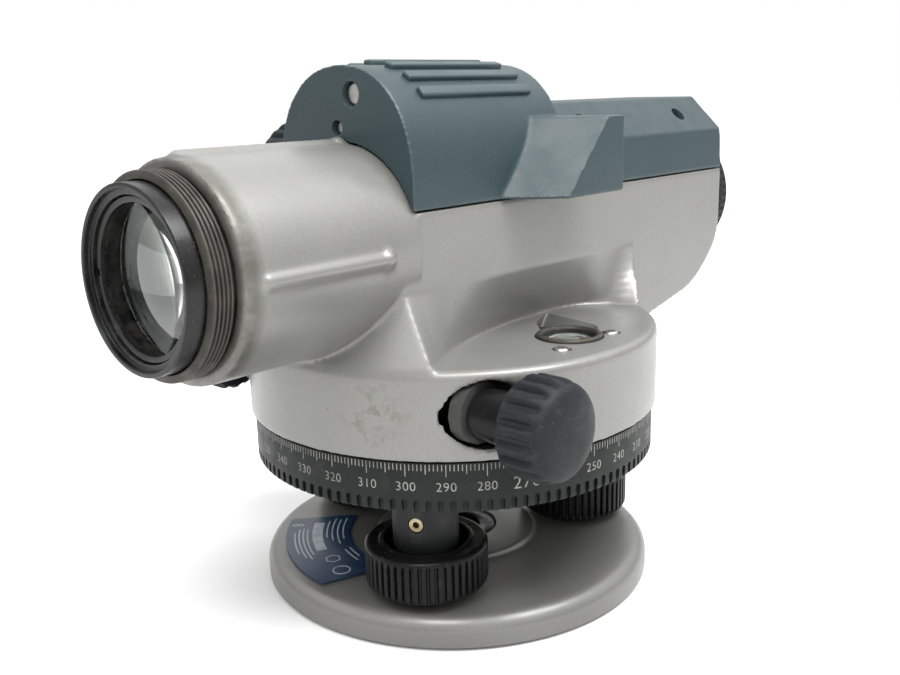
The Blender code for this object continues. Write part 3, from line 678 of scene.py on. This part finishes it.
def hump_outline(inset, steps=60):
    half = COVER_HALF - inset
    rise = HUMP_TOP - inset - HUMP_BASE
    power = 2 / HUMP_POWER
    bottom = cover_foot(inset)
    points = [(half, bottom)]
    for i in range(steps + 1):
        angle = math.pi * i / steps
        across = abs(math.cos(angle)) ** power * math.copysign(1, math.cos(angle))
        points.append((half * across, HUMP_BASE + rise * math.sin(angle) ** power))
    points.append((-half, bottom))
    return points


def tail_outline(inset):
    side = [(COVER_HALF - inset, cover_foot(inset)), (23.3 - inset, 119.8 - inset * 0.4),
            (12.6 - inset * 0.4, 130.3 - inset)]
    return side + [(-y, z) for y, z in reversed(side)]


def hump_height(y):
    return HUMP_BASE + (HUMP_TOP - HUMP_BASE) * (
        1 - (abs(y) / COVER_HALF) ** HUMP_POWER) ** (1 / HUMP_POWER)


def mirror_wedge(inset):
    """Hood over the bubble whose slanted wall carries the mirror."""
    seam, crown = SEAM_Z + SEAM_GAP, 127.0
    wall_foot, wall_head = 3.4, 21.0    # where the slanted wall begins and ends along X
    beyond = 4.0 if inset else 0.0      # the hollow runs on past the hood's open sides
    low, high, rear = seam - beyond, crown - inset, 28.3 + beyond
    out_y = -38.0 + inset
    reach = -20.0 - out_y
    lean = inset * 0.75
    skew = 0.76
    slope = (wall_head - wall_foot) / (crown - seam)
    foot_x = wall_foot + lean - slope * (seam - low)
    head_x = wall_head + lean - slope * inset
    near = [(foot_x, out_y, low), (rear, out_y, low), (rear, out_y, high), (head_x, out_y, high)]
    far = [(foot_x - skew * reach, out_y + reach, low), (rear, out_y + reach, low),
           (rear, out_y + reach, high), (head_x - skew * reach, out_y + reach, high)]
    return rings_to_body([near, far])


def cover():
    shell = draft(prism(hump_outline(0), HUMP_FRONT, HUMP_REAR, "YZ"))
    combine(shell, "UNION", prism(tail_outline(0), HUMP_REAR - 4.0, REAR_X, "YZ"),
            mirror_wedge(0))
    wedge_room = draft(mirror_wedge(1.8))
    combine(wedge_room, "INTERSECT", slab((-20.0, -60.0, 100.0), (40.0, -24.6, 140.0)))
    combine(shell, "DIFFERENCE",
            prism(hump_outline(WALL), HUMP_FRONT + WALL, HUMP_REAR - WALL, "YZ"),
            prism(tail_outline(WALL), HUMP_REAR - 6.0, REAR_X - WALL, "YZ"),
            undraft(wedge_room),
            rod(BARREL_R + 0.35, HUMP_FRONT - 4.0, HUMP_FRONT + 6.0, "X", SIGHT, 160),
            rod(10.35, 14.0, 32.0, "Y", FOCUS, 72), rod(14.3, 100.0, 112.0, "X", SIGHT, 72))
    cast(shell, 0.52, 2)
    ribs = []
    for y in (-17.3, -12.9, -7.2, 0.0, 7.2, 12.9, 17.3):
        slope = math.atan2(hump_height(y + 0.5) - hump_height(y - 0.5), 1.0)
        rib = slab((-28.5, -1.45, -1.6), (13.0, 1.45, 1.3), 0.55, 3)
        ribs.append(moved(rib, Matrix.Translation((0, y, hump_height(y)))
                          @ Matrix.Rotation(slope, 4, "X")))
    combine(shell, "UNION", *ribs)
    holes = [rod(3.0, -3.0, 3.0, "X", (HUMP_FRONT + WALL / 2, -3.9, 134.2)),
             rod(1.9, -3.0, 3.0, "X", (HUMP_FRONT + WALL / 2, 1.5, 126.2))]
    for x, side in ((90.5, -1), (38.0, -1), (90.5, 1), (38.0, 1)):
        place = (Matrix.Translation((x, 18.0 * side, 125.2))
                 @ Matrix.Rotation(math.radians(-44.5 * side), 4, "X"))
        holes.append(moved(rod(2.6, -6.0, 6.0), place))
    combine(shell, "DIFFERENCE", *holes)
    complete(shell, "moulded_cover", "housing", TEAL, ["top_cover"])


# ---------------------------------------------------------------- knobs and feet

def flute(bm, count, depth, low, high, fade, share, outer):
    """Press grooves into the wall of a knob that stands on Z."""
    for v in bm.verts:
        radius = math.hypot(v.co.x, v.co.y)
        floor = outer - depth
        if radius <= floor or not low - fade < v.co.z < high + fade:
            continue
        reach = min(1.0, (v.co.z - low + fade) / fade, (high + fade - v.co.z) / fade)
        wave = 0.5 + 0.5 * math.cos(count * math.atan2(v.co.y, v.co.x))
        groove = min(1.0, max(0.0, (wave - (1 - share)) / (share * 0.6)))
        new = radius - (radius - floor) * groove * reach
        v.co.x *= new / radius
        v.co.y *= new / radius


def knob(profile, count, depth, low, high, fade, share, outer, axis, centre, flip=False,
         ring=False, steps_each=8):
    bm = bmesh.new()
    dense = []
    for (r0, h0), (r1, h1) in zip(profile, profile[1:] + (profile[:1] if ring else [])):
        pieces = max(1, round(math.hypot(r1 - r0, h1 - h0) / 0.9))
        dense += [(r0 + (r1 - r0) * k / pieces, h0 + (h1 - h0) * k / pieces)
                  for k in range(pieces)]
    if not ring:
        dense.append(profile[-1])
    spin_profile(bm, dense, count * steps_each, ring)
    flute(bm, count, depth, low, high, fade, share, outer)
    if flip:
        bmesh.ops.scale(bm, vec=(1, 1, -1), verts=bm.verts)
    return moved(bm, Matrix.Translation(centre) @ TURN_TO[axis])


def drive_knobs():
    for word, flip in (("left", True), ("right", False)):
        profile = soften([(0, 64.0), (3.4, 64.0), (3.4, 56.6), (6.6, 56.6), (6.6, 54.6),
                          (10.6, 54.2, 0.8), (12.0, 55.6, 1.0), (12.0, 63.0, 1.5),
                          (10.6, 66.4, 1.6), (6.4, 67.8, 2.0), (0, 68.0)])
        shape = knob(profile, 18, 1.25, 55.0, 64.0, 1.4, 0.62, 12.0, "Y", DRIVE, flip)
        complete(shape, f"drive_grip_{word}", "drive", RUBBER,
                 [f"drive_knob_{word}"])
        side = -1 if flip else 1
        hub = turned(soften([(3.3, 42.4 * side), (6.3, 42.4 * side, 0.5),
                             (6.3, 56.2 * side, 0.3), (3.3, 56.2 * side)], closed=True),
                     "Y", DRIVE, 64)
        complete(hub, f"drive_sleeve_{word}", "drive", BLACK,
                 [f"drive_hub_{word}"])


def focus_grip():
    profile = soften([(0, 49.0), (4.3, 49.0), (4.3, 29.4), (16.2, 29.4, 0.9), (18.0, 31.0, 0.9),
                      (18.0, 50.4, 1.4), (15.8, 52.6, 1.4), (12.6, 53.0, 0.5),
                      (12.0, 52.2, 0.4), (0, 52.2)])
    shape = knob(profile, 30, 1.1, 31.2, 50.2, 1.2, 0.6, 18.0, "Y", FOCUS)
    complete(shape, "focus_grip", "focus_knob", RUBBER, ["focusing_knob"])


def foot_centre(index):
    angle = math.radians(FOOT_START + 120.0 * index)
    return Vector((FOOT_CIRCLE_R * math.cos(angle), FOOT_CIRCLE_R * math.sin(angle), 0))


def feet():
    for index in range(3):
        number = index + 1
        centre = foot_centre(index)
        profile = soften([(4.0, 9.5), (13.0, 9.5, 1.0), (16.0, 11.6, 1.2), (16.0, 21.9, 0.6),
                          (15.1, 22.5, 0.4), (12.4, 22.4, 0.3), (11.9, 22.8, 0.2),
                          (11.2, 22.8, 0.2), (11.0, 18.8, 0.4), (4.0, 18.8)], closed=True)
        grip = knob(profile, 48, 0.95, 11.8, 20.2, 0.7, 0.52, 16.0, "Z", centre, ring=True)
        complete(grip, f"foot_grip_{number}", f"foot_screw_{number}", BLACK,
                 [f"foot_screw_knob_{number}"])
        post = draft(turned(soften([(4.6, 20.8), (8.6, 20.8, 0.6), (8.6, 38.2), (7.1, 38.2),
                                    (7.1, 45.4), (4.6, 45.4)], closed=True),
                            centre=centre, steps=72))
        facing = math.atan2(centre.y, centre.x) - math.radians(3.0)
        aim = (Matrix.Translation(centre + Vector((0, 0, 29.3)))
               @ Matrix.Rotation(facing, 4, "Z") @ TURN_TO["X"])
        combine(post, "DIFFERENCE", moved(rod(2.1, 3.6, 11.6, steps=36), aim))
        complete(post, f"foot_post_{number}", "tribrach", DARK,
                 [f"foot_bush_{number}"])
        socket = draft(rod(1.8, 5.0, 8.4, steps=36))
        combine(socket, "DIFFERENCE", rod(0.95, 6.4, 9.5, steps=6))
        complete(moved(undraft(socket), aim), f"socket_screw_{number}", "tribrach",
                 BRASS, [f"bush_set_screw_{number}"])


# ---------------------------------------------------------------- base

def base():
    fillet = arc((PLATE_R - 4.0, 4.3), 4.0, 0, 90, 12)
    plate = turned(soften([(11.8, 0), (PLATE_R - 1.0, 0), (PLATE_R, 1.0)]) + fillet
                   + soften([(PLATE_R - 5.0, 8.3), (23.6, 8.3, 0.7), (22.8, 9.7, 0.7),
                             (11.8, 9.7, 0.3), (11.8, 8.0)]), steps=200)
    foot_seats = []
    for index in range(3):
        centre = foot_centre(index)
        foot_seats += [rod(4.7, 1.3, 12.0, centre=centre), rod(7.7, 6.5, 12.5, centre=centre)]
    plate = draft(plate)
    combine(plate, "DIFFERENCE", *foot_seats)
    complete(plate, "base_casting", "base", SHADED_BASE_SILVER, ["base_plate"])
    thread = [(11.5, 0.4), (11.5, 9.0), (11.1, 9.4), (7.4, 9.4)]
    pitch = 1.1
    for turn in range(8):
        low = 9.0 - turn * pitch
        thread += [(7.0, low), (7.9, low - pitch / 2)]
    thread += [(7.0, 0.4)]
    complete(turned(thread, steps=96), "thread_insert", "base", BLUED_STEEL,
             ["tripod_thread_insert"], sharp=50)


def band(radius, width, start, end, height):
    """A printed bar bent round the middle of the plate."""
    steps = max(4, round(abs(end - start) / 2.5))
    return prism(arc((0, 0), radius + width, start, end, steps)
                 + arc((0, 0), radius, end, start, steps), *height, "XY")


def label():
    low = 8.6
    outline = arc((0, 0), PLATE_R - 5.0, 125, 177, 40) + arc((0, 0), 31.6, 187, 116, 50)
    complete(prism(outline, low, low + 0.3, "XY"), "label_plate", "base", NAVY,
             ["rating_label"])
    height = (low + 0.24, low + 0.34)
    marks = [band(39.6, 3.0, 128.0, 154.5, height)]
    for radius, start, end in ((33.4, 122, 146), (35.0, 124, 151), (36.6, 123, 147),
                               (38.1, 126, 143), (43.8, 134, 157), (45.0, 133, 160),
                               (46.2, 134, 158), (47.4, 137, 154), (33.2, 157, 168),
                               (34.8, 158, 171)):
        marks.append(band(radius, 0.42, start, end, height))
    for radius, turn, outer, inner, sides in ((40.2, 163.5, 2.3, 1.9, 6),
                                              (41.8, 173.9, 2.5, 2.1, 40),
                                              (48.2, 130.3, 0.9, 0.5, 24),
                                              (46.4, 130.3, 0.9, 0.5, 24)):
        spot = Matrix.Rotation(math.radians(turn), 4, "Z") @ Vector((radius, 0, 0))
        marks.append(turned([(inner, height[0]), (outer, height[0]), (outer, height[1]),
                             (inner, height[1])], centre=spot, steps=sides))
    complete(gather(*marks), "label_bars", "base", PALE_PRINT)


# ---------------------------------------------------------------- horizontal circle

def circle():
    """Graduated ring with notches milled up from its lower edge."""
    notches = 120
    ring = turned(soften([(51.8, 37.0), (55.5, 37.0, 0.3), (CIRCLE_R, 37.5, 0.3),
                          (CIRCLE_R, 49.6, 0.2), (22.4, 49.6), (22.4, 46.2), (51.8, 46.2)],
                         closed=True, steps=2), steps=notches * 3)
    ring = draft(ring)
    cutters = []
    for k in range(notches):
        cutter = bmesh.new()
        bmesh.ops.create_cone(cutter, cap_ends=True, segments=10, radius1=0.75, radius2=0.75,
                              depth=2.4)
        for v in cutter.verts:
            if v.co.x > 0.0:
                v.co.x += 4.0
        turn = (Matrix.Rotation(2 * math.pi * k / notches, 4, "Z")
                @ Matrix.Translation((CIRCLE_R + 0.25, 0, 39.6))
                @ Matrix.Rotation(math.radians(90), 4, "Y"))
        cutters.append(moved(cutter, turn))
    combine(ring, "DIFFERENCE", gather(*cutters))
    complete(ring, "graduated_ring", "circle", CIRCLE_DARK,
             ["horizontal_circle"])
    circle_marks()


def circle_marks():
    face = CIRCLE_R + 0.03
    marks = []
    for degree in range(360):
        length = 3.1 if degree % 10 == 0 else 2.4 if degree % 5 == 0 else 1.6
        tick = slab((face - 0.1, -0.11, 49.35 - length), (face, 0.11, 49.35))
        marks.append(moved(tick, Matrix.Rotation(circle_azimuth(degree), 4, "Z")))
    for value in range(0, 360, 10):
        marks.append(wrapped_number(str(value), 3.3 if value % 90 == 0 else 2.35,
                                    circle_azimuth(value), 43.6, face))
    complete(gather(*marks), "circle_engraving", "circle", ENGRAVING)


def circle_azimuth(value):
    """The numbers run clockwise seen from above."""
    return math.radians(150.4 - value)


def wrapped_number(words, size, azimuth, height, radius):
    curve = bpy.data.curves.new("number", "FONT")
    curve.body = words
    curve.size = size / 0.72
    curve.align_x = "CENTER"
    curve.align_y = "CENTER"
    curve.extrude = 0.05
    curve.offset = -0.03
    curve.space_character = 1.06
    curve.resolution_u = 3
    text = bpy.data.objects.new("number", curve)
    link(text)
    mesh = bpy.data.meshes.new_from_object(
        text.evaluated_get(bpy.context.evaluated_depsgraph_get()))
    bm = bmesh.new()
    bm.from_mesh(mesh)
    bpy.data.objects.remove(text)
    bpy.data.curves.remove(curve)
    bpy.data.meshes.remove(mesh)
    bmesh.ops.remove_doubles(bm, verts=bm.verts, dist=WELD)
    for v in bm.verts:
        angle = azimuth + v.co.x / radius
        out = radius - 0.05 + v.co.z
        v.co = Vector((out * math.cos(angle), out * math.sin(angle), height + v.co.y))
    bmesh.ops.recalc_face_normals(bm, faces=bm.faces)
    return bm


# ---------------------------------------------------------------- objective and eyepiece

def objective():
    grooves = [(20.95, -93.6), (21.6, -93.7)]
    for k in range(5):
        x = -93.3 + k * 1.02
        grooves += [(22.3, x), (22.75, x + 0.2), (22.75, x + 0.55), (22.25, x + 0.8)]
    collar = turned(grooves + [(22.2, -88.1), (21.2, -87.9), (21.2, -80.0), (20.95, -80.0)],
                    "X", SIGHT, 160)
    complete(collar, "objective_thread_collar", "housing", TARNISH,
             ["objective_collar"], sharp=50)
    ring = draft(turned(soften([(18.0, -96.4), (19.2, -96.6, 0.2), (19.4, -97.9, 0.25),
                                (20.6, -97.9, 0.35), (20.6, -82.0), (18.0, -82.0)],
                               closed=True), "X", SIGHT, 160))
    holes = []
    for degrees in (150.0, 30.0, 270.0):
        place = (Matrix.Translation(SIGHT + Vector((-91.2, 0, 0)))
                 @ Matrix.Rotation(math.radians(degrees), 4, "X"))
        holes.append(moved(rod(0.85, 19.4, 22.0, steps=24), place))
    combine(ring, "DIFFERENCE", *holes)
    complete(ring, "objective_cell", "housing", GLOSS, ["objective_ring"])
    keeper = draft(turned(soften([(16.3, -95.6, 0.2), (17.7, -95.8, 0.2), (17.7, -94.0),
                                  (16.3, -94.0)], closed=True), "X", SIGHT, 128))
    slots = [slab((-97.0, side * 17.8 - 1.2, SIGHT.z - 0.8),
                  (-94.9, side * 17.8 + 1.2, SIGHT.z + 0.8)) for side in (-1, 1)]
    combine(keeper, "DIFFERENCE", *slots)
    complete(keeper, "lens_keeper", "housing", GLOSS,
             ["objective_retainer"])
    crown = [(17.4 * t, -93.3 + 2.9 * t * t) for t in [k / 14 for k in range(15)]]
    complete(turned(crown + [(17.4, -86.6), (0, -85.6)], "X", SIGHT, 128, ring=False),
             "objective_glass", "housing", GLASS, ["objective_lens"])


def eyepiece():
    profile = soften([(11.6, 111.4), (22.0, 111.4, 0.5), (23.0, 112.2, 0.4),
                      (23.0, 116.0, 0.6), (21.6, 117.1, 0.6), (15.0, 117.1, 0.8),
                      (11.6, 114.6)], closed=True)
    grip = knob(profile, 60, 0.7, 112.2, 115.6, 0.5, 0.5, 23.0, "X", SIGHT, ring=True,
                steps_each=6)
    complete(grip, "eyepiece_grip", "eyepiece_ring", RUBBER,
             ["eyepiece_ring"])


# ---------------------------------------------------------------- circular bubble

def bubble():
    ring = turned(soften([(6.9, 66.2), (8.6, 66.4, 0.2), (8.7, 72.5, 0.4), (8.2, 72.9, 0.3),
                          (7.4, 72.9, 0.3), (6.9, 72.2, 0.2)], closed=True),
                  centre=VIAL, steps=96)
    complete(ring, "bubble_mount", "housing", TARNISH, ["vial_ring"],
             sharp=40)
    seat = turned(soften([(0, 66.3), (6.6, 66.3), (6.6, 68.0), (0, 68.0)]), centre=VIAL,
                  steps=72, ring=False)
    complete(seat, "bubble_backing", "housing", PALE_PRINT)
    dome = [(6.55 * math.sin(t), 70.6 + 1.6 * math.cos(t))
            for t in [math.pi / 2 * k / 10 for k in range(11)]]
    glass = turned(dome + [(6.55, 68.2), (0, 68.2)], centre=VIAL, steps=72, ring=False)
    complete(glass, "bubble_glass", "housing", CLEAR, ["vial_glass"])
    mark = turned([(2.3, 68.05), (2.75, 68.05), (2.75, 68.15), (2.3, 68.15)], centre=VIAL,
                  steps=64)
    complete(mark, "bubble_centre_mark", "housing", BLACK)
    for number, (x, y) in enumerate(bubble_screws(), start=1):
        top = 72.5 if number < 3 else 71.2
        head = draft(turned(soften([(0, 67.2), (2.1, 67.2), (2.1, top - 0.5, 0.3),
                                    (1.6, top, 0.3), (0, top)]), centre=(x, y, 0), steps=40,
                            ring=False))
        slot = moved(slab((-3.0, -0.3, top - 0.7), (3.0, 0.3, top + 1.0)),
                     Matrix.Translation((x, y, 0))
                     @ Matrix.Rotation(math.radians(25 + 70 * number), 4, "Z"))
        combine(head, "DIFFERENCE", slot)
        complete(head, f"bubble_screw_{number}", "housing", STEEL,
                 [f"vial_screw_{number}"])


# ---------------------------------------------------------------- frame nodes that stay

def dress_frame_nodes():
    slots = {entry["node"]: entry["material_slot"] for entry in frame["record"]["subparts"]}
    finishes = {"silver_paint": SILVER, "teal_plastic": TEAL, "dark_coating": DARK,
                "black_plastic": BLACK, "soft_rubber": RUBBER, "black_anodised": GLOSS,
                "steel": STEEL, "brass": BRASS, "tarnished_brass": TARNISH, "label": NAVY,
                "mirror_glass": MIRROR, "lens_glass": GLASS}
    for name, node in frame["nodes"].items():
        finish = finishes[slots[name]]
        for place in node.material_slots:
            place.material = finish
        if not node.material_slots:
            node.data.materials.append(finish)


# ---------------------------------------------------------------- studio

def studio():
    bm = bmesh.new()
    bmesh.ops.create_grid(bm, x_segments=1, y_segments=1, size=6.0)
    mesh = bpy.data.meshes.new("floor")
    bm.to_mesh(mesh)
    bm.free()
    floor = bpy.data.objects.new("floor", mesh)
    link(floor)
    f = Finish("floor_paper", roughness=0.9)
    f.set("Base Color", f.mix(f.noise(3, 2), (0.74, 0.74, 0.74), (0.76, 0.76, 0.76)))
    mesh.materials.append(f.material)

    world = bpy.data.worlds.new("studio")
    world.use_nodes = True
    sky = world.node_tree.nodes
    links = world.node_tree.links
    axes = sky.new("ShaderNodeSeparateXYZ")
    links.new(sky.new("ShaderNodeTexCoord").outputs["Generated"], axes.inputs["Vector"])
    overhead = sky.new("ShaderNodeMapRange")
    for socket, number in (("From Min", 0.05), ("From Max", 0.6), ("To Min", 0.35),
                           ("To Max", 1.7)):
        overhead.inputs[socket].default_value = number
    links.new(axes.outputs["Z"], overhead.inputs["Value"])
    white = sky.new("ShaderNodeMix")
    seen_by_surfaces, seen_by_camera = white.inputs[2], white.inputs[3]
    seen_by_camera.default_value = 1.0
    links.new(sky.new("ShaderNodeLightPath").outputs["Is Camera Ray"], white.inputs["Factor"])
    links.new(overhead.outputs["Result"], seen_by_surfaces)
    links.new(white.outputs[0], sky["Background"].inputs["Strength"])
    sky["Background"].inputs["Color"].default_value = (1, 1, 1, 1)
    bpy.context.scene.world = world

    middle = Vector((0, 0, 0.08))
    for name, place, size, power in (
            ("key_light", (-0.4, -0.2, 0.9), 0.3, 3.4),
            ("top_light", (0.1, -0.4, 0.9), 0.45, 8.5),
            ("front_light", (-0.75, -0.9, 0.25), 0.5, 0.8)):
        light = bpy.data.lights.new(name, "AREA")
        light.size = size
        light.energy = power
        lamp = bpy.data.objects.new(name, light)
        lamp.location = place
        lamp.rotation_euler = (middle - Vector(place)).to_track_quat("-Z", "Y").to_euler()
        link(lamp)


def camera():
    data = bpy.data.cameras.new("view")
    data.lens = 40.4
    data.sensor_width = 36.0
    data.clip_start = 0.01
    eye = bpy.data.objects.new("view", data)
    stand = (-0.2048, -0.18857, 0.13511)
    forward = Vector((0.71278, 0.65897, -0.24021)).normalized()
    level = forward.cross(Vector((0, 0, 1))).normalized()
    upright = level.cross(forward)
    tilt = math.radians(-1.404)
    right = level * math.cos(tilt) + upright * math.sin(tilt)
    up = upright * math.cos(tilt) - level * math.sin(tilt)
    eye.matrix_world = Matrix.Translation(stand) @ Matrix(
        (right, up, -forward)).transposed().to_4x4()
    link(eye)
    bpy.context.scene.camera = eye
    bpy.context.scene.view_settings.view_transform = "Standard"


housing()
cover()
drive_knobs()
focus_grip()
feet()
base()
label()
circle()
objective()
eyepiece()
bubble()
dress_frame_nodes()
studio()
camera()
